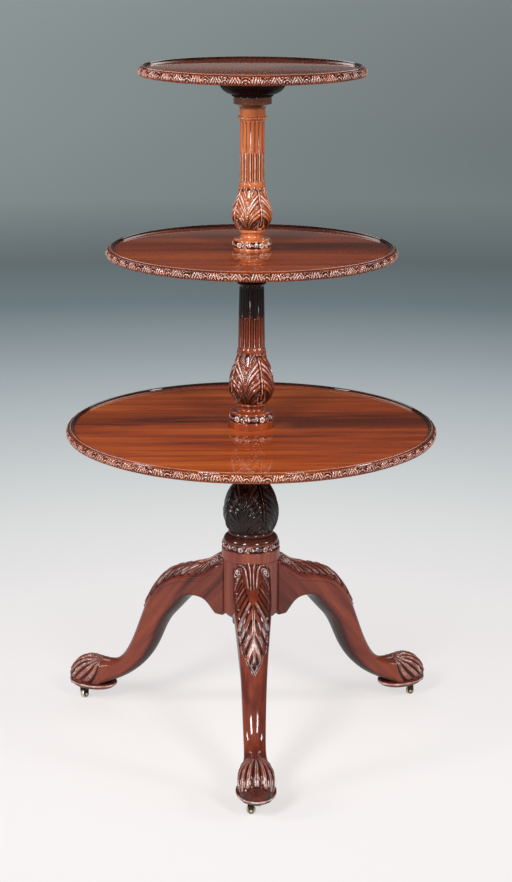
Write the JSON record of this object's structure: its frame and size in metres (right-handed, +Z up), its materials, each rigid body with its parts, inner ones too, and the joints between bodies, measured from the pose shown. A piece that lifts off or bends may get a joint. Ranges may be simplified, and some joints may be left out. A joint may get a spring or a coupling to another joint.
{
  "type": "dumbwaiter table",
  "caption": "Tiered dumbwaiter table: round dished trays that revolve on a turned, carved stem, on cabriole tripod legs with casters.",
  "frame": {"origin": "on the floor, on the axis of the stem", "axes": "+Z up along the stem; the front leg points along -Y, the others 120 degrees either side"},
  "size_m": [0.687, 0.723, 1.226],
  "materials": {
    "tray_mahogany": "French polished, high gloss",
    "column_mahogany": "French polished, carved",
    "base_mahogany": "French polished, carved, darker",
    "bearer_mahogany": "polished, dark",
    "caster_brass": "aged, dark",
    "roller_brass": "worn bright",
    "brace_iron": "forged, blackened",
    "screw_steel": "plain"
  },
  "bodies": {
    "stand": {"pillar": "base_mahogany", "middle_column": "column_mahogany", "upper_column": "column_mahogany", "leg_brace": "brace_iron", "leg_brace_screws": "screw_steel", "front_leg": "base_mahogany", "front_caster_plate": "caster_brass", "front_caster_screws": "screw_steel", "right_leg": "base_mahogany", "right_caster_plate": "caster_brass", "right_caster_screws": "screw_steel", "left_leg": "base_mahogany", "left_caster_plate": "caster_brass", "left_caster_screws": "screw_steel"},
    "lower_tier": {"lower_tray": "tray_mahogany", "lower_bearer": "bearer_mahogany", "lower_bearer_screws": "screw_steel"},
    "middle_tier": {"middle_tray": "tray_mahogany", "middle_bearer": "bearer_mahogany", "middle_bearer_screws": "screw_steel"},
    "upper_tier": {"upper_tray": "tray_mahogany", "upper_bearer": "bearer_mahogany", "upper_bearer_screws": "screw_steel"},
    "front_caster": {"front_caster_fork": "caster_brass", "front_caster_pin": "caster_brass", "front_caster_axle": "caster_brass"},
    "front_roller": {"front_caster_wheel": "roller_brass"},
    "right_caster": {"right_caster_fork": "caster_brass", "right_caster_pin": "caster_brass", "right_caster_axle": "caster_brass"},
    "right_roller": {"right_caster_wheel": "roller_brass"},
    "left_caster": {"left_caster_fork": "caster_brass", "left_caster_pin": "caster_brass", "left_caster_axle": "caster_brass"},
    "left_roller": {"left_caster_wheel": "roller_brass"}
  },
  "joints": [
    {"name": "lower_tray_turn", "type": "hinge", "parent": "stand", "child": "lower_tier", "pos_m": [0, 0, 0.5337], "axis": [0, 0, 1], "continuous": true},
    {"name": "middle_tray_turn", "type": "hinge", "parent": "stand", "child": "middle_tier", "pos_m": [0, 0, 0.871], "axis": [0, 0, 1], "continuous": true},
    {"name": "upper_tray_turn", "type": "hinge", "parent": "stand", "child": "upper_tier", "pos_m": [0, 0, 1.1738], "axis": [0, 0, 1], "continuous": true},
    {"name": "front_caster_swivel", "type": "hinge", "parent": "stand", "child": "front_caster", "pos_m": [0, -0.356, 0.0175], "axis": [0, 0, 1], "continuous": true},
    {"name": "front_roller_spin", "type": "hinge", "parent": "front_caster", "child": "front_roller", "pos_m": [-0.009, -0.356, 0.008], "axis": [0, -1, 0], "continuous": true},
    {"name": "right_caster_swivel", "type": "hinge", "parent": "stand", "child": "right_caster", "pos_m": [0.3083, 0.178, 0.0175], "axis": [0, 0, 1], "continuous": true},
    {"name": "right_roller_spin", "type": "hinge", "parent": "right_caster", "child": "right_roller", "pos_m": [0.31731, 0.178, 0.008], "axis": [0, 1, 0], "continuous": true},
    {"name": "left_caster_swivel", "type": "hinge", "parent": "stand", "child": "left_caster", "pos_m": [-0.3083, 0.178, 0.0175], "axis": [0, 0, 1], "continuous": true},
    {"name": "left_roller_spin", "type": "hinge", "parent": "left_caster", "child": "left_roller", "pos_m": [-0.31568, 0.17284, 0.008], "axis": [0.5736, -0.8192, 0], "continuous": true}
  ]
}
